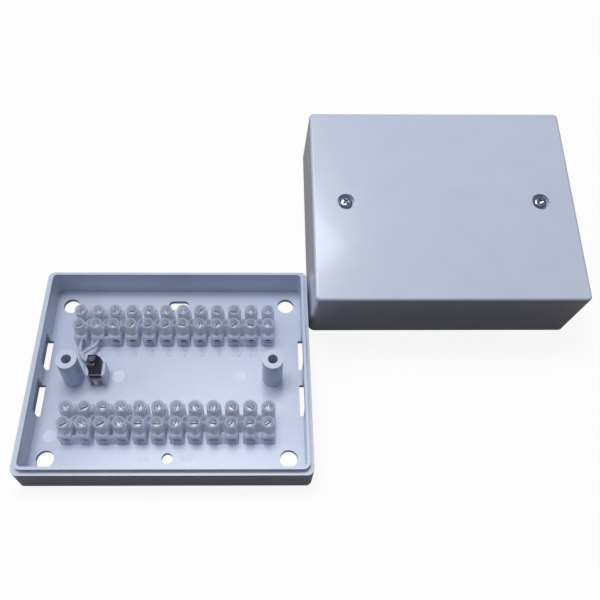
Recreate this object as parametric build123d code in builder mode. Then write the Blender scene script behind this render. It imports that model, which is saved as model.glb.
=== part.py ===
from build123d import *
import math
import os

# An open wall junction box: a shallow moulded base that carries two terminal strips and a
# cover-tamper switch, with its deep cover taken off and lying beside it on its front rim
# and on the tips of its two captive screws. Millimetres, origin under the base's centre.

os.makedirs("parts", exist_ok=True)

# Base tray
box_length = 126.0
box_depth = 101.5
corner_radius = 3.2
base_height = 14.6
ledge_width = 1.75
lip_thickness = 1.25
lip_height = 2.4
floor_thickness = 2.1
base_draft = 1.7
base_edge_chamfer = 0.8
inner_corner_radius = 2.0

# Fixing holes through the floor
fixing_spacing_x = 105.8
fixing_spacing_y = 78.2
fixing_hole_diameter = 7.9
rear_slot_length = 10.0
rear_slot_width = 5.0
rear_slot_y = 39.4
front_hole_diameter = 4.9
front_hole_y = -38.8

# Cable knock-outs in the side walls: pockets open to the underside with a thin outer skin
knockout_length = 15.3
knockout_height = 10.3
knockout_centre_y = 11.6
knockout_skin = 1.2
knockout_floor_cut = 1.6

# Screw posts that the cover screws bite into
post_offset_x = 46.0
post_diameter = 9.5
post_height = 20.4
post_hole_diameter = 4.5
post_floor = 0.9

# Terminal strips
way_count = 12
way_pitch = 8.0
way_width = 6.2
strip_depth = 15.6
block_height = 8.4
tower_diameter = 5.8
tower_height = 6.8
tower_sides = 6
screw_row_spacing = 7.4
well_diameter = 4.2
channel_width = 4.2
channel_height = 4.6
channel_floor = 2.0
boss_diameter = 4.4
boss_height = 9.4
skirt_web_height = 7.7
skirt_web_thickness = 1.3
upper_strip_y = 24.1
lower_strip_y = -24.7
upper_joined_ways = [2, 10]
lower_joined_ways = [1, 3, 9, 11]

# Metal inserts and their clamping screws
insert_side_clearance = 0.1
insert_recess = 1.3
insert_bore = 3.2
insert_wall = 0.7
screw_thread_diameter = 2.6
screw_thread_clearance = 0.1
screw_head_diameter = 3.6
screw_head_height = 1.8
screw_head_depth = 2.2
screw_reach = 0.7
facet_sides = 6
insert_sides = 4

# Cover
cover_height = 38.5
cover_top_thickness = 2.2
cover_draft = 1.65
cover_edge_radius = 1.3
cavity_corner = 1.4
lip_clearance = 0.15
pillar_diameter = 10.6
recess_diameter = 8.2
recess_depth = 2.0
pillar_seat_gap = 0.05
pillar_bore_clearance = 0.25
rib_length = 7.0
rib_thickness = 1.6
cover_gap = 0.6
cover_tilt = 11.8
cover_yaw = 0.15
cover_centre_y = 76.4

# Cover screws
cover_screw_diameter = 4.0
shank_sides = 12
cover_head_diameter = 6.2
cover_head_height = 1.9

# Cover-tamper switch
switch_x = -34.3
switch_y = 0.4
switch_width = 5.6
switch_depth = 5.8
switch_seat_height = 4.4
switch_top = 18.5
shoulder_width = 1.7
shoulder_height = 4.2
pocket_clearance = 0.15
cheek_thickness = 1.3
cheek_height = 10.2
plinth_front = 1.7
plinth_back = 1.2
plinth_corner = 1.6
plunger_diameter = 2.8
plunger_clearance = 0.1
plunger_stand = 1.5
plunger_travel = 1.2
plunger_overrun = 0.6
plunger_length = 8.0
plunger_offset_x = -0.6
plate_height = 3.5
plate_thickness = 0.45
plate_proud = 0.35
tag_width = 0.9
tag_thickness = 0.5
tag_length = 5.2
tag_slot_clearance = 0.15
tag_offsets = [-2.2, 1.0, 2.2]

# Switch wires, each from inside an insert's bore to the back of the switch
wire_diameter = 1.7
wire_entry = 0.6
wire_seat_gap = 0.95
wire_sides = 5
wire_end_height = 14.0
first_wire_end_x = 1.6
second_wire_end_y = 1.8
first_wire_bends = [
    (-44.6, 14.4, 5.7),
    (-44.2, 10.4, 4.3),
    (-41.4, 7.4, 4.8),
    (-38.8, 6.2, 7.8),
    (-37.0, 6.3, 12.3),
]
second_wire_bends = [
    (-36.9, 14.6, 6.3),
    (-40.2, 11.9, 7.2),
    (-42.2, 8.6, 9.4),
    (-40.6, 4.8, 12.2),
]

# Values that follow from the ones above
wall_thickness = ledge_width + lip_thickness
inner_length = box_length - 2 * wall_thickness
inner_depth = box_depth - 2 * wall_thickness
cover_wall = ledge_width - lip_clearance
block_top = floor_thickness + block_height
tower_top = block_top + tower_height
insert_floor = floor_thickness + channel_floor
insert_width = channel_width - 2 * insert_side_clearance
insert_height = channel_height - insert_side_clearance
insert_length = strip_depth - 2 * insert_recess
insert_top = insert_floor + insert_height
bore_axis_height = insert_floor + insert_wall + insert_bore / 2
switch_seat = floor_thickness + switch_seat_height
switch_front = switch_y - switch_depth / 2
plunger_top = switch_top + plunger_stand

# The cover's rim plane: its front edge lies on the table and its back edge is raised.
tilt = math.radians(cover_tilt)
yaw = math.radians(cover_yaw)
rim_plane = Plane(
    origin=(
        box_length + cover_gap,
        cover_centre_y,
        box_depth / 2 * math.sin(tilt),
    ),
    x_dir=(math.cos(yaw), math.sin(yaw), 0),
    z_dir=(math.sin(yaw) * math.sin(tilt), -math.cos(yaw) * math.sin(tilt), math.cos(tilt)),
)
cover_axis = Axis(rim_plane.origin, rim_plane.z_dir)
screw_seat = cover_height - recess_depth
screw_tip = (box_depth / 2 - cover_screw_diameter / 2) * math.tan(tilt)


def way_x(index):
    """Centre of one way along the strip, counted from 1 at the left."""
    return (index - (way_count + 1) / 2) * way_pitch


# Base tray: one moulding with its rim ledge and lip, posts, knock-outs and switch plinth
with BuildPart() as base_tray:
    with BuildSketch() as base_outline:
        base_inset = base_height * math.tan(math.radians(base_draft))
        RectangleRounded(
            box_length - 2 * base_inset, box_depth - 2 * base_inset, corner_radius - base_inset
        )
    extrude(amount=base_height, taper=-base_draft)
    chamfer(base_tray.faces().sort_by(Axis.Z)[0].edges(), base_edge_chamfer)
    with BuildSketch(Plane.XY.offset(base_height)) as lip_outline:
        RectangleRounded(
            box_length - 2 * ledge_width,
            box_depth - 2 * ledge_width,
            inner_corner_radius + lip_thickness,
        )
    extrude(amount=lip_height)
    with BuildSketch(Plane.XY.offset(floor_thickness)) as hollow_outline:
        RectangleRounded(inner_length, inner_depth, inner_corner_radius)
    extrude(amount=base_height + lip_height, mode=Mode.SUBTRACT)
    with BuildSketch(Plane.XY.offset(floor_thickness)) as post_outline:
        with GridLocations(2 * post_offset_x, 0, 2, 1):
            Circle(post_diameter / 2)
    extrude(amount=post_height - floor_thickness)
    with BuildSketch(Plane.XY.offset(floor_thickness)) as plinth_outline:
        plinth_depth = switch_depth + plinth_front + plinth_back
        with Locations((switch_x, switch_y + (plinth_back - plinth_front) / 2)):
            RectangleRounded(
                switch_width + 2 * (cheek_thickness + pocket_clearance),
                plinth_depth,
                plinth_corner,
            )
    extrude(amount=cheek_height)
    with BuildSketch(Plane.XY.offset(switch_seat)) as pocket_outline:
        with Locations((switch_x, switch_y - plinth_front / 2)):
            Rectangle(
                switch_width + 2 * pocket_clearance,
                switch_depth + plinth_front + 2 * pocket_clearance,
            )
    extrude(amount=cheek_height, mode=Mode.SUBTRACT)
    with BuildSketch(Plane.XY.offset(switch_seat - tag_length + tag_thickness)) as tag_slots:
        for offset_x in tag_offsets:
            with Locations((switch_x + offset_x, switch_front)):
                Rectangle(
                    tag_width + 2 * tag_slot_clearance, 2 * (plinth_front + pocket_clearance)
                )
    extrude(amount=cheek_height, mode=Mode.SUBTRACT)
    with BuildSketch() as floor_holes:
        with GridLocations(fixing_spacing_x, fixing_spacing_y, 2, 2):
            Circle(fixing_hole_diameter / 2)
        with Locations((0, rear_slot_y)):
            SlotOverall(rear_slot_length, rear_slot_width)
        with Locations((0, front_hole_y)):
            Circle(front_hole_diameter / 2)
    extrude(amount=floor_thickness, mode=Mode.SUBTRACT)
    with BuildSketch() as knockout_outline:
        knockout_depth = wall_thickness - knockout_skin + knockout_floor_cut
        knockout_spacing = box_length - 2 * knockout_skin - knockout_depth
        with GridLocations(knockout_spacing, 2 * knockout_centre_y, 2, 2):
            Rectangle(knockout_depth, knockout_length)
    extrude(amount=knockout_height, mode=Mode.SUBTRACT)
    with BuildSketch(Plane.XY.offset(post_height)) as post_hole_outline:
        with GridLocations(2 * post_offset_x, 0, 2, 1):
            Circle(post_hole_diameter / 2)
    extrude(amount=-(post_height - floor_thickness - post_floor), mode=Mode.SUBTRACT)
base_tray.part.label = "base_tray"
export_step(base_tray.part, "parts/base_tray.step")


# Terminal strips: translucent mouldings, one channel and two screw towers to each way
strip_specs = {
    "upper_strip": (upper_strip_y, upper_joined_ways),
    "lower_strip": (lower_strip_y, lower_joined_ways),
}
for strip_name, (strip_y, joined_ways) in strip_specs.items():
    strip_plane = Plane.XY.move(Location((0, strip_y, floor_thickness)))
    gap_grid = GridLocations(way_pitch, 0, way_count - 1, 1)
    way_grid = GridLocations(way_pitch, 0, way_count, 1)
    tower_grid = GridLocations(way_pitch, screw_row_spacing, way_count, 2)
    with BuildPart() as strip_body:
        with BuildSketch(strip_plane) as block_outline:
            with way_grid:
                Rectangle(way_width, strip_depth)
        extrude(amount=block_height)
        with BuildSketch(strip_plane) as boss_outline:
            with gap_grid:
                RegularPolygon(boss_diameter / 2, facet_sides)
        extrude(amount=boss_height)
        with BuildSketch(strip_plane) as skirt_outline:
            for joined in joined_ways:
                with Locations(
                    (way_x(joined) + way_pitch / 2, (skirt_web_thickness - strip_depth) / 2)
                ):
                    Rectangle(way_pitch - way_width, skirt_web_thickness)
        extrude(amount=skirt_web_height)
        with BuildSketch(strip_plane.offset(block_height)) as tower_outline:
            with tower_grid:
                RegularPolygon(tower_diameter / 2, tower_sides)
        extrude(amount=tower_height)
        with BuildSketch(strip_plane.offset(channel_floor)) as channel_outline:
            with way_grid:
                Rectangle(channel_width, strip_depth)
        extrude(amount=channel_height, mode=Mode.SUBTRACT)
        with BuildSketch(strip_plane.offset(channel_floor + channel_height)) as well_outline:
            with tower_grid:
                RegularPolygon(well_diameter / 2, facet_sides)
        extrude(amount=block_height + tower_height, mode=Mode.SUBTRACT)
    strip_body.part.label = strip_name + "_body"
    export_step(strip_body.part, "parts/" + strip_name + "_body.step")

    # Inserts: a plated brass bar to each way, bored for the wires and tapped twice from above
    for index in range(1, way_count + 1):
        insert_plane = Plane.XY.move(Location((way_x(index), strip_y, insert_floor)))
        with BuildPart() as insert:
            with BuildSketch(insert_plane) as insert_outline:
                Rectangle(insert_width, insert_length)
            extrude(amount=insert_height)
            bore_plane = Plane(
                origin=(way_x(index), strip_y + insert_length / 2, bore_axis_height),
                z_dir=(0, -1, 0),
            )
            with BuildSketch(bore_plane) as bore_outline:
                RegularPolygon(insert_bore / 2, insert_sides, rotation=180 / insert_sides)
            extrude(amount=insert_length, mode=Mode.SUBTRACT)
            with BuildSketch(insert_plane.offset(insert_height)) as tapping_outline:
                with GridLocations(0, screw_row_spacing, 1, 2):
                    RegularPolygon(
                        screw_thread_diameter / 2 + screw_thread_clearance,
                        insert_sides,
                        rotation=180 / insert_sides,
                    )
            extrude(amount=bore_axis_height - insert_top, mode=Mode.SUBTRACT)
        insert_name = strip_name + "_insert_" + str(index).zfill(2)
        insert.part.label = insert_name
        export_step(insert.part, "parts/" + insert_name + ".step")

    # Clamping screws: cheese heads in the towers, threads in the tapped inserts
    head_top = tower_top - screw_head_depth
    head_underside = head_top - screw_head_height
    thread_end = insert_top - insert_wall - screw_reach
    for row_name, row_side in (("front", -1), ("rear", 1)):
        row_y = strip_y + row_side * screw_row_spacing / 2
        with BuildPart() as screws:
            with BuildSketch(Plane.XY.move(Location((0, row_y, head_underside)))) as head_outline:
                with way_grid:
                    RegularPolygon(screw_head_diameter / 2, facet_sides)
            extrude(amount=screw_head_height)
            with BuildSketch(Plane.XY.move(Location((0, row_y, thread_end)))) as thread_outline:
                with way_grid:
                    RegularPolygon(
                        screw_thread_diameter / 2, insert_sides, rotation=180 / insert_sides
                    )
            extrude(amount=head_underside - thread_end)
        screws_name = strip_name + "_" + row_name + "_screws"
        screws.part.label = screws_name
        export_step(screws.part, "parts/" + screws_name + ".step")


# Tamper switch body: a small block with one sloped shoulder and a bore for the plunger
with BuildPart() as switch_body:
    with BuildSketch(Plane.XY.offset(switch_seat)) as switch_outline:
        with Locations((switch_x, switch_y)):
            Rectangle(switch_width, switch_depth)
    extrude(amount=switch_top - switch_seat)
    shoulder_edge = (
        switch_body.faces().sort_by(Axis.Z)[-1].edges().filter_by(Axis.Y).sort_by(Axis.X)[-1]
    )
    chamfer(shoulder_edge, shoulder_height, shoulder_width)
    with BuildSketch(Plane.XY.offset(switch_top)) as plunger_bore:
        with Locations((switch_x + plunger_offset_x, switch_y)):
            Circle(plunger_diameter / 2 + plunger_clearance)
    bore_depth = plunger_length - plunger_stand + plunger_travel + plunger_overrun
    extrude(amount=-bore_depth, mode=Mode.SUBTRACT)
    with BuildSketch(Plane.XY.offset(switch_seat + plate_height)) as plate_slot:
        with Locations((switch_x, switch_front)):
            Rectangle(switch_width, 2 * plate_proud)
    extrude(amount=plate_thickness, mode=Mode.SUBTRACT)
    with BuildSketch(Plane.XY.offset(switch_seat)) as tag_sockets:
        for offset_x in tag_offsets:
            with Locations((switch_x + offset_x, switch_front)):
                Rectangle(tag_width, 2 * tag_thickness)
    extrude(amount=tag_thickness, mode=Mode.SUBTRACT)
switch_body.part.label = "tamper_switch_body"
export_step(switch_body.part, "parts/tamper_switch_body.step")

# Plunger: sprung upwards, pushed down by the cover's rib
with BuildPart() as plunger:
    with BuildSketch(Plane.XY.offset(plunger_top)) as plunger_outline:
        with Locations((switch_x + plunger_offset_x, switch_y)):
            Circle(plunger_diameter / 2)
    extrude(amount=-plunger_length)
plunger.part.label = "tamper_plunger"
export_step(plunger.part, "parts/tamper_plunger.step")

# Contact plate: the bright metal edge across the front of the switch
with BuildPart() as contact_plate:
    with BuildSketch(Plane.XY.offset(switch_seat + plate_height)) as plate_outline:
        with Locations((switch_x, switch_front)):
            Rectangle(switch_width, 2 * plate_proud)
    extrude(amount=plate_thickness)
contact_plate.part.label = "tamper_contact_plate"
export_step(contact_plate.part, "parts/tamper_contact_plate.step")

# Solder tags: three blades that leave the switch under its front edge
with BuildPart() as tags:
    with BuildSketch(Plane.XY.offset(switch_seat + tag_thickness)) as tag_outline:
        for offset_x in tag_offsets:
            with Locations((switch_x + offset_x, switch_front - tag_thickness / 2)):
                Rectangle(tag_width, tag_thickness)
    extrude(amount=-tag_length)
tags.part.label = "tamper_switch_tags"
export_step(tags.part, "parts/tamper_switch_tags.step")


# Cover: a deep drafted shell with two screw pillars and the rib that holds the switch down
with BuildPart() as cover:
    with BuildSketch(rim_plane) as rim_outline:
        RectangleRounded(box_length, box_depth, corner_radius)
    extrude(amount=cover_height, taper=cover_draft)
    fillet(cover.faces().sort_by(cover_axis)[-1].edges(), cover_edge_radius)
    with BuildSketch(rim_plane) as cavity_outline:
        Rectangle(box_length - 2 * cover_wall, box_depth - 2 * cover_wall)
        chamfer(cavity_outline.vertices(), cavity_corner)
    extrude(amount=cover_height - cover_top_thickness, taper=cover_draft, mode=Mode.SUBTRACT)
    pillar_end = post_height - base_height + pillar_seat_gap
    with BuildSketch(rim_plane.offset(pillar_end)) as pillar_outline:
        with GridLocations(2 * post_offset_x, 0, 2, 1):
            Circle(pillar_diameter / 2)
    extrude(amount=cover_height - cover_top_thickness - pillar_end)
    rib_end = plunger_top - plunger_travel - base_height
    with BuildSketch(rim_plane.offset(rib_end)) as rib_outline:
        with Locations((switch_x + plunger_offset_x, switch_y)):
            Rectangle(rib_length, rib_thickness)
    extrude(amount=cover_height - cover_top_thickness - rib_end)
    with BuildSketch(rim_plane.offset(cover_height)) as recess_outline:
        with GridLocations(2 * post_offset_x, 0, 2, 1):
            Circle(recess_diameter / 2)
    extrude(amount=-recess_depth, mode=Mode.SUBTRACT)
    with BuildSketch(rim_plane.offset(cover_height)) as clearance_outline:
        with GridLocations(2 * post_offset_x, 0, 2, 1):
            Circle(cover_screw_diameter / 2 + pillar_bore_clearance)
    extrude(amount=-cover_height, mode=Mode.SUBTRACT)
cover.part.label = "cover"
export_step(cover.part, "parts/cover.step")

# Cover screws: long pan-head screws held captive in the pillars, tips on the table
with BuildPart() as cover_screws:
    with BuildSketch(rim_plane.offset(screw_seat)) as cover_head_outline:
        with GridLocations(2 * post_offset_x, 0, 2, 1):
            Circle(cover_head_diameter / 2)
    extrude(amount=cover_head_height)
    with BuildSketch(rim_plane.offset(screw_seat)) as shank_outline:
        with GridLocations(2 * post_offset_x, 0, 2, 1):
            RegularPolygon(cover_screw_diameter / 2, shank_sides)
    extrude(amount=-(screw_seat + screw_tip))
cover_screws.part.label = "cover_screws"
export_step(cover_screws.part, "parts/cover_screws.step")


# Switch wires: thin insulated leads from the upper strip's first two ways to the switch
def wire_path(points):
    """Straight runs joined by tangent arcs, each as large as its two runs allow."""
    corners = [Vector(*point) for point in points]
    radii = []
    for before, corner, after in zip(corners, corners[1:], corners[2:]):
        run_in = corner - before
        run_out = after - corner
        turn = math.radians(run_in.get_angle(run_out))
        radii.append(0.45 * min(run_in.length, run_out.length) / math.tan(turn / 2))
    print("wire radii", [round(radius, 1) for radius in radii])
    return FilletPolyline(*corners, radius=radii)


wire_mouth_y = upper_strip_y - insert_length / 2 + wire_entry
wire_routes = {
    "switch_wire_first": (
        [(way_x(1), wire_mouth_y, bore_axis_height)]
        + first_wire_bends
        + [
            (
                switch_x - first_wire_end_x,
                switch_y + switch_depth / 2 + wire_seat_gap,
                wire_end_height,
            )
        ]
    ),
    "switch_wire_second": (
        [(way_x(2), wire_mouth_y, bore_axis_height)]
        + second_wire_bends
        + [
            (
                switch_x - switch_width / 2 - wire_seat_gap,
                switch_y + second_wire_end_y,
                wire_end_height,
            )
        ]
    ),
}
for wire_name, wire_points in wire_routes.items():
    with BuildPart() as wire:
        with BuildLine() as wire_line:
            wire_path(wire_points)
        with BuildSketch(Plane(wire_line.line @ 0, z_dir=wire_line.line % 0)) as wire_section:
            RegularPolygon(wire_diameter / 2, wire_sides)
        sweep(sections=wire_section.sketch, path=wire_line.line)
    wire.part.label = wire_name
    export_step(wire.part, "parts/" + wire_name + ".step")
    route_length = sum(edge.length for edge in wire_line.edges())
    section_times_length = wire_section.sketch.area * route_length
    print(wire_name, "volume", round(wire.part.volume, 2), "tube", round(section_times_length, 2))
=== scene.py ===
"""Looks of an open junction box with two terminal strips, its cover lying beside it."""
import math
import random

import bmesh
import bpy
from mathutils import Matrix, Vector


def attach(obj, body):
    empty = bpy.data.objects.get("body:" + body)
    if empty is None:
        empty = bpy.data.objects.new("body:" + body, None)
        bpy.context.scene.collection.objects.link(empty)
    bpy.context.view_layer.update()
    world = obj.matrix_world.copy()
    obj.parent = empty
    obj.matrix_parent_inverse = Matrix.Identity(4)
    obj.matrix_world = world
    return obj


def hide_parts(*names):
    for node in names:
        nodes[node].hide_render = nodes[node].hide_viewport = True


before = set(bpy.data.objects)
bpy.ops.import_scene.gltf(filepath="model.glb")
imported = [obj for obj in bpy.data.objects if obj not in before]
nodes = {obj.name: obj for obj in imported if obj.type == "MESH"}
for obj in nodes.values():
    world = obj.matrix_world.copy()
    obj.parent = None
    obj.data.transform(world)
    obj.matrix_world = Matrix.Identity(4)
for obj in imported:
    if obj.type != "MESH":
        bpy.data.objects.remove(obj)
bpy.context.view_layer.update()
MM = 0.001

# The camera stands above the box's front edge and looks down at it, leaning 36 degrees
# from straight down. Its lens and its small shift give the photograph's framing.
IMAGE_PX = 600
FOCAL_PX = 735.6
PRINCIPAL_PX = (268.75, 259.75)
SENSOR_MM = 36.0
camera_data = bpy.data.cameras.new("camera")
camera_data.sensor_width = SENSOR_MM
camera_data.lens = FOCAL_PX / IMAGE_PX * SENSOR_MM
camera_data.shift_x = (IMAGE_PX / 2 - PRINCIPAL_PX[0]) / IMAGE_PX
camera_data.shift_y = (PRINCIPAL_PX[1] - IMAGE_PX / 2) / IMAGE_PX
camera_data.clip_start = 0.01
camera_data.clip_end = 10.0
camera = bpy.data.objects.new("camera", camera_data)
bpy.context.collection.objects.link(camera)
camera_turn = (
    Matrix.Rotation(-0.0216, 4, "Z")
    @ Matrix.Rotation(0.6218, 4, "X")
    @ Matrix.Rotation(0.0194, 4, "Z")
)
camera.matrix_world = Matrix.Translation(Vector((39.95, -155.02, 312.71)) * MM) @ camera_turn
bpy.context.scene.camera = camera


def linear(hex_colour):
    """sRGB hex colour to the linear values that a shader takes."""
    channels = [int(hex_colour[i : i + 2], 16) / 255 for i in (1, 3, 5)]
    return [c / 12.92 if c <= 0.04045 else ((c + 0.055) / 1.055) ** 2.4 for c in channels] + [1.0]


def add_node(tree, kind, settings=None, **inputs):
    """One shader node: its settings by attribute name, its inputs as values or as links."""
    new = tree.nodes.new(kind)
    for name, value in (settings or {}).items():
        setattr(new, name, value)
    for name, value in inputs.items():
        key = int(name[1:]) if name[0] == "i" and name[1:].isdigit() else name.replace("_", " ")
        if isinstance(value, bpy.types.NodeSocket):
            tree.links.new(value, new.inputs[key])
        else:
            new.inputs[key].default_value = value
    return new


def new_material(name):
    """An empty material with its output node, and its node tree."""
    material = bpy.data.materials.new(name)
    material.use_nodes = True
    tree = material.node_tree
    tree.nodes.clear()
    return material, tree, tree.nodes.new("ShaderNodeOutputMaterial")


# The table is a plain pale sheet. The camera sees it white, reflections see it as lit paper
# with the box's shadow on it, and other light finds it dark, since little came back from it.
TABLE_SIZE = 6.0
TABLE_BOUNCE = linear("#1E1C1E")
PAPER = linear("#FFFFFF")
MIRRORED_PAPER = linear("#968F92")
TABLE_SHADOW_SHARE = 0.10
MIRRORED_SHADOW_SHARE = 0.95
table_mesh = bpy.data.meshes.new("table")
half = TABLE_SIZE / 2
table_mesh.from_pydata(
    [(-half, -half, 0), (half, -half, 0), (half, half, 0), (-half, half, 0)], [], [(0, 1, 2, 3)]
)
table = bpy.data.objects.new("table", table_mesh)
table.location.z = -0.0002
bpy.context.collection.objects.link(table)
table_material, tree, output = new_material("white_table_sheet")
path = add_node(tree, "ShaderNodeLightPath")
mirrored = add_node(
    tree, "ShaderNodeMath", {"operation": "MAXIMUM"}, i0=path.outputs["Is Glossy Ray"],
    i1=path.outputs["Is Transmission Ray"],
)
dull = add_node(tree, "ShaderNodeBsdfDiffuse", Color=TABLE_BOUNCE)
paper = add_node(tree, "ShaderNodeBsdfDiffuse", Color=PAPER)
mirrored_paper = add_node(tree, "ShaderNodeBsdfDiffuse", Color=MIRRORED_PAPER)
white = add_node(tree, "ShaderNodeEmission", Color=(1, 1, 1, 1), Strength=1.0)
plain_sheet = add_node(
    tree, "ShaderNodeMixShader", i0=TABLE_SHADOW_SHARE, i1=white.outputs[0], i2=paper.outputs[0]
)
lit_sheet = add_node(
    tree, "ShaderNodeMixShader", i0=MIRRORED_SHADOW_SHARE, i1=white.outputs[0],
    i2=mirrored_paper.outputs[0],
)
reflected = add_node(
    tree, "ShaderNodeMixShader", i0=mirrored.outputs[0], i1=dull.outputs[0],
    i2=lit_sheet.outputs[0],
)
both = add_node(
    tree, "ShaderNodeMixShader", i0=path.outputs["Is Camera Ray"], i1=reflected.outputs[0],
    i2=plain_sheet.outputs[0],
)
tree.links.new(both.outputs[0], output.inputs["Surface"])
table_mesh.materials.append(table_material)

# Light: a broad soft ceiling light almost overhead, a little to the rear and the left, in a
# room that is nearly dark at the level of the table, so the box's front walls stay dark.
world = bpy.data.worlds.new("room")
bpy.context.scene.world = world
world.use_nodes = True
tree = world.node_tree
tree.nodes.clear()
world_output = tree.nodes.new("ShaderNodeOutputWorld")
direction = add_node(tree, "ShaderNodeTexCoord")
split = add_node(tree, "ShaderNodeSeparateXYZ", Vector=direction.outputs["Generated"])
height = add_node(
    tree, "ShaderNodeMapRange", Value=split.outputs["Z"], From_Min=0.12, From_Max=1.0,
    To_Min=0.0, To_Max=0.72,
)
rearward = add_node(
    tree, "ShaderNodeMapRange", Value=split.outputs["Y"], From_Min=-1.0, From_Max=1.0,
    To_Min=0.66, To_Max=1.24,
)
room = add_node(
    tree, "ShaderNodeMath", {"operation": "MULTIPLY"}, i0=height.outputs[0],
    i1=rearward.outputs[0],
)
room_light = add_node(tree, "ShaderNodeBackground", Strength=room.outputs[0])
backdrop = add_node(tree, "ShaderNodeBackground", Strength=1.0)
path = add_node(tree, "ShaderNodeLightPath")
shown = add_node(
    tree, "ShaderNodeMixShader", i0=path.outputs["Is Camera Ray"], i1=room_light.outputs[0],
    i2=backdrop.outputs[0],
)
tree.links.new(shown.outputs[0], world_output.inputs["Surface"])


def add_window(name, place, aim, size, power):
    """A rectangular soft light at one place, turned to face another, in metres."""
    lamp = bpy.data.lights.new(name, "AREA")
    lamp.shape = "RECTANGLE"
    lamp.size, lamp.size_y = size
    lamp.energy = power
    holder = bpy.data.objects.new(name, lamp)
    bpy.context.collection.objects.link(holder)
    holder.location = place
    holder.rotation_euler = (Vector(aim) - Vector(place)).to_track_quat("-Z", "Y").to_euler()


BOX_CENTRE = (0.06, 0.04, 0.0)
add_window("ceiling_light", (-0.095, 0.24, 1.0), BOX_CENTRE, (0.51, 0.32), 5.3)
add_window("left_window", (-0.9, 0.1, 0.55), BOX_CENTRE, (0.5, 0.4), 1.5)

# Base tray: injection-moulded white ABS, sold as plain white and photographed cool. The
# polished mould leaves a satin skin with a barely visible ripple.
BASE_COLOUR = linear("#C4D0E5")
BASE_SHADE = linear("#BFCAE0")
RIPPLE_MM = 14.0
GRAIN_MM = 0.6


def moulded_plastic(name, colour, shade, roughness, coat, ripple_height):
    """Opaque moulded ABS: slow colour drift, fine skin grain and a slow surface ripple."""
    material, tree, output = new_material(name)
    place = add_node(tree, "ShaderNodeTexCoord")
    drift = add_node(
        tree, "ShaderNodeTexNoise", Vector=place.outputs["Object"], Scale=1 / (RIPPLE_MM * MM),
        Detail=2.0,
    )
    tint = add_node(
        tree, "ShaderNodeMix", {"data_type": "RGBA"}, i0=drift.outputs["Fac"], i6=colour, i7=shade
    )
    grain = add_node(
        tree, "ShaderNodeTexNoise", Vector=place.outputs["Object"], Scale=1 / (GRAIN_MM * MM),
        Detail=3.0,
    )
    gloss = add_node(
        tree, "ShaderNodeMapRange", Value=grain.outputs["Fac"], To_Min=roughness - 0.04,
        To_Max=roughness + 0.06,
    )
    wave = add_node(
        tree, "ShaderNodeBump", Strength=1.0, Distance=ripple_height * MM,
        Height=drift.outputs["Fac"],
    )
    skin = add_node(
        tree, "ShaderNodeBump", Strength=0.15, Distance=0.02 * MM, Height=grain.outputs["Fac"],
        Normal=wave.outputs["Normal"],
    )
    shader = add_node(
        tree, "ShaderNodeBsdfPrincipled", Base_Color=tint.outputs[2],
        Roughness=gloss.outputs[0], IOR=1.5, Specular_IOR_Level=0.46, Coat_Weight=coat,
        Coat_Roughness=0.08,
        Normal=skin.outputs["Normal"],
    )
    tree.links.new(shader.outputs[0], output.inputs["Surface"])
    return material


def dress(node_name, material):
    """Gives one CAD node its material."""
    mesh = nodes[node_name].data
    mesh.materials.clear()
    mesh.materials.append(material)


def shade_smooth(mesh, degrees=35):
    """Smooth shading, with edges sharper than the angle kept crisp."""
    mesh.shade_smooth()
    mesh.set_sharp_from_angle(angle=math.radians(degrees))


base_plastic = moulded_plastic("moulded_abs_satin", BASE_COLOUR, BASE_SHADE, 0.25, 0.0, 0.03)
dress("base_tray", base_plastic)

# Cover: the same white ABS from a more highly polished mould, so that it mirrors the room.
COVER_COLOUR = linear("#CAD3E8")
COVER_SHADE = linear("#C2CBE2")
cover_plastic = moulded_plastic("moulded_abs_gloss", COVER_COLOUR, COVER_SHADE, 0.2, 0.3, 0.05)
dress("cover", cover_plastic)

# Terminal strips: each is one moulding of cloudy natural polyethylene. Every way has a block
# with a wire channel through it and two round screw towers; a round boss with a blind hole
# joins each way to the next, and some gaps are closed by a skirt at the front.
WAY_PITCH = 8.0
WAY_COUNT = 12
FLOOR_TOP = 2.1
STRIP_Y = {"upper_strip": 24.1, "lower_strip": -24.7}
JOINED_WAYS = {"upper_strip": (2, 10), "lower_strip": (1, 3, 9, 11)}
BLOCK_WIDTH, BLOCK_DEPTH, BLOCK_HEIGHT = 6.2, 15.6, 8.4
BLOCK_EDGE = 0.35
CHANNEL_WIDTH, CHANNEL_FLOOR, CHANNEL_TOP = 4.2, 2.0, 6.6
TOWER_RADIUS, TOWER_TOP, WELL_RADIUS = 2.9, 15.2, 1.95
SCREW_SPACING = 7.4
ROUND_SIDES = 36


def circle_points(radius, sides, centre=(0.0, 0.0), start=0.0):
    """Points of a circle in a flat plane, anticlockwise."""
    turns = [start + 2 * math.pi * step / sides for step in range(sides)]
    return [
        (centre[0] + radius * math.cos(turn), centre[1] + radius * math.sin(turn))
        for turn in turns
    ]


def rounded_outline(width, depth, radius, steps=3):
    """Points of a rectangle with rounded corners about the origin, anticlockwise."""
    points = []
    for corner, (side_x, side_y) in enumerate(((1, 1), (-1, 1), (-1, -1), (1, -1))):
        centre = (side_x * (width / 2 - radius), side_y * (depth / 2 - radius))
        for step in range(steps + 1):
            turn = math.pi / 2 * (corner + step / steps)
            points.append(
                (centre[0] + radius * math.cos(turn), centre[1] + radius * math.sin(turn))
            )
    return points


def add_ring(mesh, points, height):
    """A ring of corners at one height."""
    return [mesh.verts.new((x, y, height)) for x, y in points]


def join_rings(mesh, low, high, skipped=()):
    """A wall of four-sided faces between two rings, with some sides left open."""
    count = len(low)
    for side in range(count):
        if side not in skipped:
            after = (side + 1) % count
            mesh.faces.new((low[side], low[after], high[after], high[side]))


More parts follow.
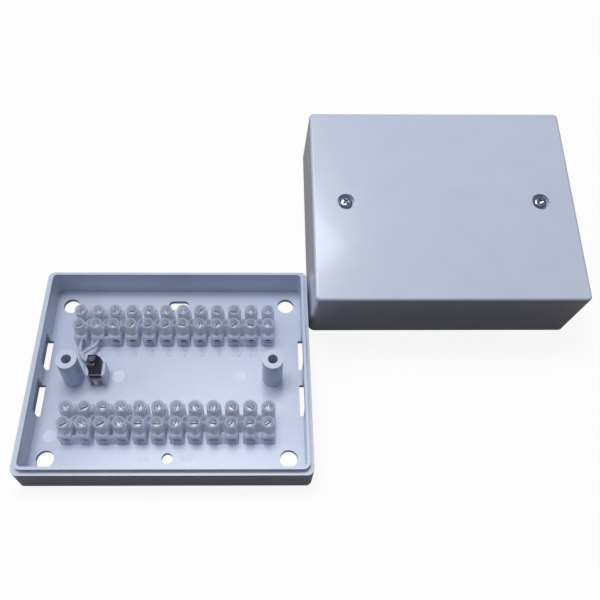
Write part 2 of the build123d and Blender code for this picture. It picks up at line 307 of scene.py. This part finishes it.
def fill_between(mesh, rings, normal):
    """A flat face bounded by the first ring, with the other rings as holes in it."""
    edges = []
    for ring in rings:
        for start, end in zip(ring, ring[1:] + ring[:1]):
            edges.append(mesh.edges.get((start, end)) or mesh.edges.new((start, end)))
    bmesh.ops.triangle_fill(mesh, use_beauty=True, edges=edges, normal=normal)


def add_turned(mesh, profile, sides, centre=(0.0, 0.0), closed=False):
    """A turned form from (radius, height) pairs, with flat ends or closed into a ring."""
    rings = [add_ring(mesh, circle_points(r, sides, centre), z) for r, z in profile]
    for low, high in zip(rings, rings[1:]):
        join_rings(mesh, low, high)
    if closed:
        join_rings(mesh, rings[-1], rings[0])
    else:
        mesh.faces.new(list(reversed(rings[0])))
        mesh.faces.new(rings[-1])


def add_slab(mesh, low, high):
    """The flat wall of a skirt, between two corners."""
    outline = [(low[0], low[1]), (high[0], low[1]), (high[0], high[1]), (low[0], high[1])]
    bottom = add_ring(mesh, outline, low[2])
    top = add_ring(mesh, outline, high[2])
    join_rings(mesh, bottom, top)
    mesh.faces.new(list(reversed(bottom)))
    mesh.faces.new(top)


def finish_piece(name, mesh, place, material, body, smooth_degrees=35):
    """Turns the mesh, drawn in millimetres, into an object of the model on one of its bodies."""
    bmesh.ops.remove_doubles(mesh, verts=mesh.verts, dist=0.0005)
    bmesh.ops.recalc_face_normals(mesh, faces=mesh.faces)
    bmesh.ops.transform(mesh, matrix=Matrix.Scale(MM, 4) @ place, verts=mesh.verts)
    data = bpy.data.meshes.new(name)
    mesh.to_mesh(data)
    mesh.free()
    data.materials.append(material)
    shade_smooth(data, smooth_degrees)
    piece = bpy.data.objects.new(name, data)
    bpy.context.collection.objects.link(piece)
    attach(piece, body)
    return piece


def add_way(mesh):
    """One way of the strip about the origin: its block, channel, towers and wells."""
    corner = BLOCK_EDGE * 1.4
    outline = rounded_outline(BLOCK_WIDTH, BLOCK_DEPTH, corner)
    inset = rounded_outline(
        BLOCK_WIDTH - 2 * BLOCK_EDGE, BLOCK_DEPTH - 2 * BLOCK_EDGE, corner - BLOCK_EDGE
    )
    bottom = add_ring(mesh, outline, 0.0)
    shoulder = add_ring(mesh, outline, BLOCK_HEIGHT - BLOCK_EDGE)
    top = add_ring(mesh, inset, BLOCK_HEIGHT)
    rear_side, front_side = 3, 11
    join_rings(mesh, bottom, shoulder, (rear_side, front_side))
    join_rings(mesh, shoulder, top)
    mesh.faces.new(list(reversed(bottom)))
    mouth = [
        (-CHANNEL_WIDTH / 2, CHANNEL_FLOOR),
        (CHANNEL_WIDTH / 2, CHANNEL_FLOOR),
        (CHANNEL_WIDTH / 2, CHANNEL_TOP),
        (-CHANNEL_WIDTH / 2, CHANNEL_TOP),
    ]
    mouths = {}
    for side, edge_y in ((front_side, -BLOCK_DEPTH / 2), (rear_side, BLOCK_DEPTH / 2)):
        after = (side + 1) % len(outline)
        frame_ring = [bottom[side], bottom[after], shoulder[after], shoulder[side]]
        mouths[side] = [mesh.verts.new((x, edge_y, z)) for x, z in mouth]
        fill_between(mesh, [frame_ring, mouths[side]], (0, math.copysign(1, edge_y), 0))
    front, rear = mouths[front_side], mouths[rear_side]
    ceiling = 2
    join_rings(mesh, front, rear, (ceiling,))
    ceiling_ring = [front[2], front[3], rear[3], rear[2]]
    tower_rings, well_rings = [], []
    for tower_y in (-SCREW_SPACING / 2, SCREW_SPACING / 2):
        profile = (
            (TOWER_RADIUS, BLOCK_HEIGHT),
            (TOWER_RADIUS, TOWER_TOP - 0.3),
            (TOWER_RADIUS - 0.1, TOWER_TOP - 0.08),
            (TOWER_RADIUS - 0.3, TOWER_TOP),
            (WELL_RADIUS + 0.2, TOWER_TOP),
            (WELL_RADIUS, TOWER_TOP - 0.2),
            (WELL_RADIUS, CHANNEL_TOP),
        )
        rings = [
            add_ring(mesh, circle_points(radius, ROUND_SIDES, (0.0, tower_y)), height)
            for radius, height in profile
        ]
        for low, high in zip(rings, rings[1:]):
            join_rings(mesh, low, high)
        tower_rings.append(rings[0])
        well_rings.append(rings[-1])
    fill_between(mesh, [top] + tower_rings, (0, 0, 1))
    fill_between(mesh, [ceiling_ring] + well_rings, (0, 0, -1))


CLOUD_MM, FROST_MM = 3.0, 0.35
WALL_OPACITY, GLOW_SHARE, LIGHT_LET_THROUGH = 0.42, 0.42, 0.93
strip_plastic, tree, output = new_material("natural_polyethylene")
place = add_node(tree, "ShaderNodeTexCoord")
cloud = add_node(
    tree, "ShaderNodeTexNoise", Vector=place.outputs["Object"], Scale=1 / (CLOUD_MM * MM),
    Detail=3.0,
)
milk = add_node(
    tree, "ShaderNodeMix", {"data_type": "RGBA"}, i0=cloud.outputs["Fac"],
    i6=linear("#EDF0FA"), i7=linear("#E1E6F4"),
)
frost = add_node(
    tree, "ShaderNodeTexNoise", Vector=place.outputs["Object"], Scale=1 / (FROST_MM * MM),
    Detail=2.0,
)
satin = add_node(
    tree, "ShaderNodeMapRange", Value=frost.outputs["Fac"], To_Min=0.35, To_Max=0.55
)
skin = add_node(
    tree, "ShaderNodeBump", Strength=0.3, Distance=0.03 * MM, Height=cloud.outputs["Fac"]
)
shader = add_node(
    tree, "ShaderNodeBsdfPrincipled", Base_Color=milk.outputs[2], Roughness=satin.outputs[0],
    IOR=1.51, Specular_IOR_Level=0.2, Alpha=WALL_OPACITY, Normal=skin.outputs["Normal"],
)
# Light goes through the thin cloudy walls: part of it glows through them, and shadows and
# bounced light are let through in part, so the insides of the wells and gaps stay pale.
glow = add_node(tree, "ShaderNodeBsdfTranslucent", Color=linear("#EFF3FC"))
milky = add_node(
    tree, "ShaderNodeMixShader", i0=GLOW_SHARE, i1=shader.outputs[0], i2=glow.outputs[0]
)
path = add_node(tree, "ShaderNodeLightPath")
through = add_node(
    tree, "ShaderNodeMath", {"operation": "MAXIMUM"}, i0=path.outputs["Is Shadow Ray"],
    i1=path.outputs["Is Diffuse Ray"],
)
share = add_node(
    tree, "ShaderNodeMath", {"operation": "MULTIPLY"}, i0=through.outputs[0],
    i1=LIGHT_LET_THROUGH,
)
clear = add_node(tree, "ShaderNodeBsdfTransparent", Color=linear("#F8F9FD"))
cloudy = add_node(
    tree, "ShaderNodeMixShader", i0=share.outputs[0], i1=milky.outputs[0], i2=clear.outputs[0]
)
tree.links.new(cloudy.outputs[0], output.inputs["Surface"])

WAY_X = [(index - (WAY_COUNT - 1) / 2) * WAY_PITCH for index in range(WAY_COUNT)]
GAP_WIDTH = WAY_PITCH - BLOCK_WIDTH
BOSS_RADIUS, BOSS_HOLE, BOSS_HEIGHT, BOSS_HOLE_FLOOR = 2.2, 1.2, 9.4, 6.4
SKIRT_THICKNESS, SKIRT_HEIGHT = 1.3, 7.7
for strip_name, strip_y in STRIP_Y.items():
    strip_mesh = bmesh.new()
    for way_x in WAY_X:
        start = len(strip_mesh.verts)
        add_way(strip_mesh)
        strip_mesh.verts.ensure_lookup_table()
        bmesh.ops.translate(strip_mesh, vec=(way_x, 0, 0), verts=strip_mesh.verts[start:])
    for number, way_x in enumerate(WAY_X[:-1], start=1):
        middle = way_x + WAY_PITCH / 2
        boss_profile = (
            (BOSS_RADIUS, 0.0),
            (BOSS_RADIUS, BOSS_HEIGHT - 0.25),
            (BOSS_RADIUS - 0.25, BOSS_HEIGHT),
            (BOSS_HOLE + 0.15, BOSS_HEIGHT),
            (BOSS_HOLE, BOSS_HEIGHT - 0.15),
            (BOSS_HOLE, BOSS_HOLE_FLOOR),
        )
        add_turned(strip_mesh, boss_profile, ROUND_SIDES, (middle, 0.0))
        if number in JOINED_WAYS[strip_name]:
            add_slab(
                strip_mesh,
                (middle - GAP_WIDTH / 2, -BLOCK_DEPTH / 2, 0.0),
                (middle + GAP_WIDTH / 2, SKIRT_THICKNESS - BLOCK_DEPTH / 2, SKIRT_HEIGHT),
            )
    strip_place = Matrix.Translation((0, strip_y, FLOOR_TOP))
    strip = finish_piece(strip_name, strip_mesh, strip_place, strip_plastic, "box")
    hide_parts(strip_name + "_body")

# Inserts: nickel-plated brass bars, drawn and bored for the wire, slid into the channels.
# Their ends show dimly in the wire mouths; the taps from above are hidden and not drawn.
INSERT_WIDTH, INSERT_LENGTH, INSERT_HEIGHT = 4.0, 13.0, 4.5
INSERT_BORE_RADIUS, INSERT_BORE_HEIGHT = 1.4, 2.3
INSERT_EDGE = 0.25
INSERT_ENDS = (-INSERT_LENGTH / 2, INSERT_LENGTH / 2)


def plated_metal(name, colour, roughness, grain_mm):
    """Plated metal: its gloss varies with fine scuffs and it is faintly uneven."""
    material, tree, output = new_material(name)
    place = add_node(tree, "ShaderNodeTexCoord")
    scuff = add_node(
        tree, "ShaderNodeTexNoise", Vector=place.outputs["Object"], Scale=1 / (grain_mm * MM),
        Detail=3.0,
    )
    gloss = add_node(
        tree, "ShaderNodeMapRange", Value=scuff.outputs["Fac"], To_Min=roughness - 0.08,
        To_Max=roughness + 0.12,
    )
    uneven = add_node(
        tree, "ShaderNodeBump", Strength=0.4, Distance=0.01 * MM, Height=scuff.outputs["Fac"]
    )
    shader = add_node(
        tree, "ShaderNodeBsdfPrincipled", Base_Color=colour, Metallic=1.0,
        Roughness=gloss.outputs[0], Normal=uneven.outputs["Normal"],
    )
    tree.links.new(shader.outputs[0], output.inputs["Surface"])
    return material


insert_nickel = plated_metal("nickel_plate", linear("#D2D5DC"), 0.5, 0.8)
bar_outline = rounded_outline(INSERT_WIDTH, INSERT_HEIGHT, INSERT_EDGE)
bore_outline = circle_points(INSERT_BORE_RADIUS, 28, (0.0, INSERT_BORE_HEIGHT - INSERT_HEIGHT / 2))
for strip_name, strip_y in STRIP_Y.items():
    for number, way_x in enumerate(WAY_X, start=1):
        insert_mesh = bmesh.new()
        ends = [add_ring(insert_mesh, bar_outline, z) for z in INSERT_ENDS]
        bores = [add_ring(insert_mesh, bore_outline, z) for z in INSERT_ENDS]
        join_rings(insert_mesh, *ends)
        join_rings(insert_mesh, *bores)
        for end, bore, facing in zip(ends, bores, (-1, 1)):
            fill_between(insert_mesh, [end, bore], (0, 0, facing))
        insert_place = Matrix.Translation(
            (way_x, strip_y, FLOOR_TOP + CHANNEL_FLOOR + INSERT_HEIGHT / 2)
        ) @ Matrix.Rotation(math.pi / 2, 4, "X")
        node_name = f"{strip_name}_insert_{number:02d}"
        insert = finish_piece(
            node_name + "_bar", insert_mesh, insert_place, insert_nickel, "box"
        )
        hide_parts(node_name)

# Clamping screws: small slotted cheese-head screws of zinc-plated steel, at the bottom of the
# towers' wells. Each was last turned to its own angle, so each slot catches the light apart.
SCREW_HEAD_RADIUS, SCREW_HEAD_HEIGHT, SCREW_HEAD_DEPTH = 1.75, 1.8, 2.2
SLOT_WIDTH, SLOT_DEPTH = 0.7, 0.9
SCREW_THREAD_RADIUS, SCREW_THREAD_PITCH = 1.3, 0.5
SCREW_THREAD_END = CHANNEL_TOP - 1.2


def add_thread(mesh, centre, top, bottom, radius, pitch, depth, sides=20, rows_per_turn=5):
    """A screw's shank: a rod whose surface rises and falls along a helix."""
    row_count = max(2, round((top - bottom) / pitch * rows_per_turn))
    rings = []
    for row in range(row_count + 1):
        height = bottom + (top - bottom) * row / row_count
        ring = []
        for side in range(sides):
            turn = 2 * math.pi * side / sides
            phase = (height / pitch - side / sides) % 1.0
            reach = radius - depth * abs(2 * phase - 1)
            ring.append(
                mesh.verts.new(
                    (
                        centre[0] + reach * math.cos(turn),
                        centre[1] + reach * math.sin(turn),
                        height,
                    )
                )
            )
        rings.append(ring)
    for low, high in zip(rings, rings[1:]):
        join_rings(mesh, low, high)
    mesh.faces.new(list(reversed(rings[0])))
    mesh.faces.new(rings[-1])


def add_slotted_head(mesh, centre, top, angle):
    """A cheese head: a disc with two raised halves, which leave the slot between them."""
    floor = top - SLOT_DEPTH
    add_turned(
        mesh,
        (
            (SCREW_HEAD_RADIUS - 0.15, top - SCREW_HEAD_HEIGHT),
            (SCREW_HEAD_RADIUS, top - SCREW_HEAD_HEIGHT + 0.15),
            (SCREW_HEAD_RADIUS, floor),
        ),
        ROUND_SIDES,
        centre,
    )
    for half_turn in (0.0, math.pi):
        rings = []
        for reach, height in ((0.0, floor), (0.0, top - 0.45), (0.12, top - 0.2), (0.4, top)):
            radius = SCREW_HEAD_RADIUS - reach
            gap = SLOT_WIDTH / 2 + reach * 0.35
            limit = math.acos(gap / radius)
            points = []
            for step in range(17):
                turn = -limit + 2 * limit * step / 16
                x, y = radius * math.cos(turn), radius * math.sin(turn)
                around = angle + half_turn
                points.append(
                    (
                        centre[0] + x * math.cos(around) - y * math.sin(around),
                        centre[1] + x * math.sin(around) + y * math.cos(around),
                    )
                )
            rings.append(add_ring(mesh, points, height))
        for low, high in zip(rings, rings[1:]):
            join_rings(mesh, low, high)
        mesh.faces.new(list(reversed(rings[0])))
        mesh.faces.new(rings[-1])


screw_zinc = plated_metal("bright_zinc_plate", linear("#B4BAC6"), 0.5, 0.5)
screw_turns = random.Random(12)
for strip_name, strip_y in STRIP_Y.items():
    for row_name, row_side in (("front", -1), ("rear", 1)):
        row_mesh = bmesh.new()
        for way_x in WAY_X:
            head_top = TOWER_TOP - SCREW_HEAD_DEPTH - screw_turns.uniform(0.0, 0.5)
            add_slotted_head(row_mesh, (way_x, 0.0), head_top, screw_turns.uniform(0, math.pi))
            add_thread(
                row_mesh, (way_x, 0.0), head_top - SCREW_HEAD_HEIGHT, SCREW_THREAD_END,
                SCREW_THREAD_RADIUS, SCREW_THREAD_PITCH, 0.22,
            )
        row_place = Matrix.Translation((0, strip_y + row_side * SCREW_SPACING / 2, FLOOR_TOP))
        row_node = f"{strip_name}_{row_name}_screws"
        row = finish_piece(row_node + "_row", row_mesh, row_place, screw_zinc, "box", 50)
        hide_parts(row_node)

# Cover screws: long pan-head machine screws with a cross recess, bright zinc on steel. They
# stay captive in the cover's pillars, and their tips stand on the table.
RIM_ORIGIN = Vector((126.6, 76.4, 50.75 * math.sin(math.radians(11.8))))
COVER_TILT, COVER_YAW = math.radians(11.8), math.radians(0.15)
COVER_SCREW_X = 46.0
COVER_SCREW_SEAT = 36.5
COVER_SCREW_TIP = -10.18
PAN_RADIUS, PAN_HEIGHT = 3.1, 1.9
COVER_SCREW_RADIUS, COVER_SCREW_PITCH = 2.0, 0.7
PLAIN_SHANK = 14.0
CROSS_REACH, CROSS_HALF_WIDTH, CROSS_DEPTH = 1.75, 0.42, 1.3
rim_place = (
    Matrix.Translation(RIM_ORIGIN)
    @ Matrix.Rotation(COVER_YAW, 4, "Z")
    @ Matrix.Rotation(COVER_TILT, 4, "X")
)


def add_pan_head(mesh, centre, seat, angle):
    """A domed head whose top surface sinks into a tapered cross."""
    sides, rows = 96, 30
    rings = [add_ring(mesh, circle_points(PAN_RADIUS - 0.2, sides, centre), seat)]
    rings.append(add_ring(mesh, circle_points(PAN_RADIUS, sides, centre), seat + 0.25))
    rings.append(add_ring(mesh, circle_points(PAN_RADIUS, sides, centre), seat + 0.8))
    for row in range(rows):
        radius = PAN_RADIUS * (1 - (row + 0.6) / (rows + 0.6))
        dome = (1 - (radius / PAN_RADIUS) ** 4) ** 0.5
        ring = []
        for side in range(sides):
            turn = 2 * math.pi * side / sides
            x, y = radius * math.cos(turn), radius * math.sin(turn)
            along = max(abs(x), abs(y))
            across = min(abs(x), abs(y))
            half_width = CROSS_HALF_WIDTH + 0.35 * max(0.0, 1 - along / 0.9)
            inside = across < half_width and along < CROSS_REACH
            depth = CROSS_DEPTH * (1 - 0.55 * along / CROSS_REACH) if inside else 0.0
            height = seat + 0.8 + (PAN_HEIGHT - 0.8) * dome - depth
            cos_angle, sin_angle = math.cos(angle), math.sin(angle)
            ring.append(
                mesh.verts.new(
                    (
                        centre[0] + x * cos_angle - y * sin_angle,
                        centre[1] + x * sin_angle + y * cos_angle,
                        height,
                    )
                )
            )
        rings.append(ring)
    # The lower rings follow the head's own turn too, so that the wall doesn't twist.
    for ring in rings[:3]:
        bmesh.ops.rotate(
            mesh, cent=(centre[0], centre[1], 0), matrix=Matrix.Rotation(angle, 3, "Z"),
            verts=ring,
        )
    for low, high in zip(rings, rings[1:]):
        join_rings(mesh, low, high)
    mesh.faces.new(list(reversed(rings[0])))
    mesh.faces.new(rings[-1])


polished_zinc = plated_metal("polished_zinc_plate", linear("#8B98AE"), 0.2, 0.5)
cover_screw_mesh = bmesh.new()
for side, angle in ((-1, 0.62), (1, 0.25)):
    centre = (side * COVER_SCREW_X, 0.0)
    add_pan_head(cover_screw_mesh, centre, COVER_SCREW_SEAT, angle)
    add_turned(
        cover_screw_mesh,
        (
            (COVER_SCREW_RADIUS - 0.15, COVER_SCREW_SEAT - PLAIN_SHANK),
            (COVER_SCREW_RADIUS - 0.15, COVER_SCREW_SEAT),
        ),
        ROUND_SIDES,
        centre,
    )
    add_thread(
        cover_screw_mesh, centre, COVER_SCREW_SEAT - PLAIN_SHANK, COVER_SCREW_TIP,
        COVER_SCREW_RADIUS, COVER_SCREW_PITCH, 0.35, 24, 6,
    )
cover_screws = finish_piece(
    "cover_screw_pair", cover_screw_mesh, rim_place, polished_zinc, "box", 40
)
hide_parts("cover_screws")

# Tamper switch: a small moulded black polyamide body with one sloped shoulder, held between
# the plinth's cheeks. Its edges are rounded by the mould.
SWITCH_X, SWITCH_Y = -34.3, 0.4
SWITCH_WIDTH, SWITCH_DEPTH = 5.6, 5.8
SWITCH_SEAT, SWITCH_TOP = 6.5, 18.5
SHOULDER_WIDTH, SHOULDER_HEIGHT = 1.7, 4.2
PLUNGER_X, PLUNGER_RADIUS = -34.9, 1.4
PLUNGER_TOP, PLUNGER_LENGTH = 20.0, 8.0
BORE_RADIUS, BORE_END = PLUNGER_RADIUS + 0.1, 10.2
SWITCH_EDGE = 0.35
COLLAR_WALL, COLLAR_STAND, COLLAR_ROOT = 0.35, 0.25, 0.4
switch_black = moulded_plastic(
    "black_polyamide", linear("#10142A"), linear("#181D36"), 0.42, 0.0, 0.02
)
left, right = SWITCH_X - SWITCH_WIDTH / 2, SWITCH_X + SWITCH_WIDTH / 2
side_view = [
    (left, SWITCH_SEAT),
    (right, SWITCH_SEAT),
    (right, SWITCH_TOP - SHOULDER_HEIGHT),
    (right - SHOULDER_WIDTH * 0.35, SWITCH_TOP - SHOULDER_HEIGHT * 0.55),
    (right - SHOULDER_WIDTH, SWITCH_TOP),
    (left, SWITCH_TOP),
]
switch_mesh = bmesh.new()
flanks = [
    [switch_mesh.verts.new((x, y, z)) for x, z in side_view]
    for y in (SWITCH_Y - SWITCH_DEPTH / 2, SWITCH_Y + SWITCH_DEPTH / 2)
]
join_rings(switch_mesh, *flanks)
switch_mesh.faces.new(flanks[0])
switch_mesh.faces.new(list(reversed(flanks[1])))
bmesh.ops.bevel(
    switch_mesh, geom=switch_mesh.edges[:], offset=SWITCH_EDGE, segments=3, profile=0.5,
    affect="EDGES",
)
# The button slides in a round bore, which is cut from the moulding before its collar is added.
case_data = bpy.data.meshes.new("switch_moulding")
bmesh.ops.recalc_face_normals(switch_mesh, faces=switch_mesh.faces)
switch_mesh.to_mesh(case_data)
switch_mesh.free()
moulding = bpy.data.objects.new("switch_moulding", case_data)
bore_mesh = bmesh.new()
add_turned(
    bore_mesh,
    ((BORE_RADIUS, BORE_END), (BORE_RADIUS, SWITCH_TOP + 2)),
    ROUND_SIDES,
    (PLUNGER_X, SWITCH_Y),
)
bmesh.ops.recalc_face_normals(bore_mesh, faces=bore_mesh.faces)
bore_data = bpy.data.meshes.new("switch_bore")
bore_mesh.to_mesh(bore_data)
bore_mesh.free()
bore = bpy.data.objects.new("switch_bore", bore_data)
for helper in (moulding, bore):
    bpy.context.collection.objects.link(helper)
cut = moulding.modifiers.new("plunger_bore", "BOOLEAN")
cut.operation, cut.solver, cut.object = "DIFFERENCE", "EXACT", bore
bpy.context.view_layer.update()
bored = bpy.data.meshes.new_from_object(
    moulding.evaluated_get(bpy.context.evaluated_depsgraph_get())
)
switch_mesh = bmesh.new()
switch_mesh.from_mesh(bored)
for helper in (moulding, bore):
    bpy.data.objects.remove(helper)
collar = (
    (PLUNGER_RADIUS + COLLAR_WALL, SWITCH_TOP - COLLAR_ROOT),
    (PLUNGER_RADIUS + COLLAR_WALL, SWITCH_TOP + COLLAR_STAND - 0.1),
    (PLUNGER_RADIUS + COLLAR_WALL - 0.1, SWITCH_TOP + COLLAR_STAND),
    (BORE_RADIUS, SWITCH_TOP + COLLAR_STAND),
    (BORE_RADIUS, SWITCH_TOP - COLLAR_ROOT),
)
add_turned(switch_mesh, collar, ROUND_SIDES, (PLUNGER_X, SWITCH_Y), closed=True)
switch_case = finish_piece("tamper_switch_case", switch_mesh, Matrix(), switch_black, "box")
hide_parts("tamper_switch_body")

# Plunger: a round button, rubbed grey, with a rounded rim and a shallow dish on its top. It
# is sprung upwards and slides down when the cover is on.
button_grey = moulded_plastic(
    "worn_grey_polyamide", linear("#4C505E"), linear("#3F4350"), 0.4, 0.0, 0.01
)
plunger_mesh = bmesh.new()
add_turned(
    plunger_mesh,
    (
        (PLUNGER_RADIUS, PLUNGER_TOP - PLUNGER_LENGTH),
        (PLUNGER_RADIUS, PLUNGER_TOP - 0.3),
        (PLUNGER_RADIUS - 0.1, PLUNGER_TOP - 0.08),
        (PLUNGER_RADIUS - 0.3, PLUNGER_TOP),
        (PLUNGER_RADIUS - 0.55, PLUNGER_TOP),
        (PLUNGER_RADIUS - 0.8, PLUNGER_TOP - 0.15),
    ),
    ROUND_SIDES,
    (PLUNGER_X, SWITCH_Y),
)
button = finish_piece("tamper_button", plunger_mesh, Matrix(), button_grey, "plunger")
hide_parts("tamper_plunger")

# Contact plate and solder tags: thin tinned strip metal at the front of the switch.
tinned = plated_metal("tinned_strip", linear("#DCDEE4"), 0.45, 0.4)
dress("tamper_contact_plate", tinned)
dress("tamper_switch_tags", tinned)

# Switch wires: thin stranded leads in soft pale PVC, pushed into the upper strip's first two
# ways and led round the post to the back of the switch, held at both ends.
WIRE_RADIUS = 0.85
WIRE_ROUTES = {
    "switch_wire_first": [
        (-44.0, 18.2, 6.4), (-44.6, 14.4, 5.7), (-44.2, 10.4, 4.3), (-41.4, 7.4, 4.8),
        (-38.8, 6.2, 7.8), (-37.0, 6.3, 12.3), (-35.9, 4.25, 14.0),
    ],
    "switch_wire_second": [
        (-36.0, 18.2, 6.4), (-36.9, 14.6, 6.3), (-40.2, 11.9, 7.2), (-42.2, 8.6, 9.4),
        (-40.6, 4.8, 12.2), (-38.05, 2.2, 14.0),
    ],
}
wire_sheath = moulded_plastic(
    "soft_pvc_sheath", linear("#C8CBDC"), linear("#B6BACF"), 0.35, 0.0, 0.0
)
for wire_name, route in WIRE_ROUTES.items():
    wire_curve = bpy.data.curves.new(wire_name + "_lead", "CURVE")
    wire_curve.dimensions = "3D"
    spline = wire_curve.splines.new("NURBS")
    spline.points.add(len(route) - 1)
    for point, (x, y, z) in zip(spline.points, route):
        point.co = (x * MM, y * MM, z * MM, 1.0)
    spline.order_u = 3
    spline.use_endpoint_u = True
    spline.resolution_u = 8
    wire_curve.bevel_depth = WIRE_RADIUS * MM
    wire_curve.bevel_resolution = 5
    wire_curve.use_fill_caps = True
    wire_curve.materials.append(wire_sheath)
    lead = bpy.data.objects.new(wire_name + "_lead", wire_curve)
    bpy.context.collection.objects.link(lead)
    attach(lead, "box")
    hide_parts(wire_name)

# Way numerals: small raised figures moulded into the floor behind the switch, one to a way.
NUMERAL_HEIGHT = 3.6
NUMERAL_Y = 12.9
NUMERAL_SHIFT = 0.8
NUMERAL_RELIEF, NUMERAL_EDGE = 0.09, 0.03
CAPITAL_SHARE = 1.4
for number, way_x in enumerate(WAY_X, start=1):
    words = bpy.data.curves.new("numeral_text", "FONT")
    words.body = str(number)
    words.size = NUMERAL_HEIGHT * CAPITAL_SHARE * MM
    words.align_x = "CENTER"
    words.extrude = NUMERAL_RELIEF * MM
    words.bevel_depth = NUMERAL_EDGE * MM
    holder = bpy.data.objects.new("numeral_text", words)
    figure = bpy.data.meshes.new_from_object(holder)
    figure.name = f"way_numeral_{number:02d}"
    figure.materials.clear()
    figure.materials.append(base_plastic)
    bpy.data.objects.remove(holder)
    numeral = bpy.data.objects.new(figure.name, figure)
    numeral.location = (
        (way_x + NUMERAL_SHIFT) * MM,
        (NUMERAL_Y - NUMERAL_HEIGHT / 2) * MM,
        (FLOOR_TOP + 0.1) * MM,
    )
    bpy.context.collection.objects.link(numeral)
    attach(numeral, "box")

# Ejector marks: faint round lands that the mould's ejector pins leave on the floor.
EJECTOR_RADIUS, EJECTOR_SIDES = 2.9, 64
EJECTOR_PLACES = [(-25.5, 0.7), (31.0, 0.2), (-10.7, -37.7), (8.5, -37.7), (-52.6, -28.6)]
pin_land = moulded_plastic(
    "moulded_abs_pin_land", linear("#DAE3F3"), linear("#D4DEF0"), 0.42, 0.0, 0.01
)
mark_mesh = bmesh.new()
for mark_place in EJECTOR_PLACES:
    add_turned(
        mark_mesh,
        (
            (EJECTOR_RADIUS, -0.05),
            (EJECTOR_RADIUS, 0.02),
            (EJECTOR_RADIUS - 0.12, 0.04),
            (EJECTOR_RADIUS - 0.24, 0.02),
        ),
        EJECTOR_SIDES,
        mark_place,
    )
marks = finish_piece(
    "ejector_marks", mark_mesh, Matrix.Translation((0, 0, FLOOR_TOP)), pin_land, "box"
)

bpy.context.scene.view_settings.view_transform = "Standard"
# The cloudy strips are many walls deep, so light may pass more of them than it does by default.
bpy.context.scene.cycles.transparent_max_bounces = 32
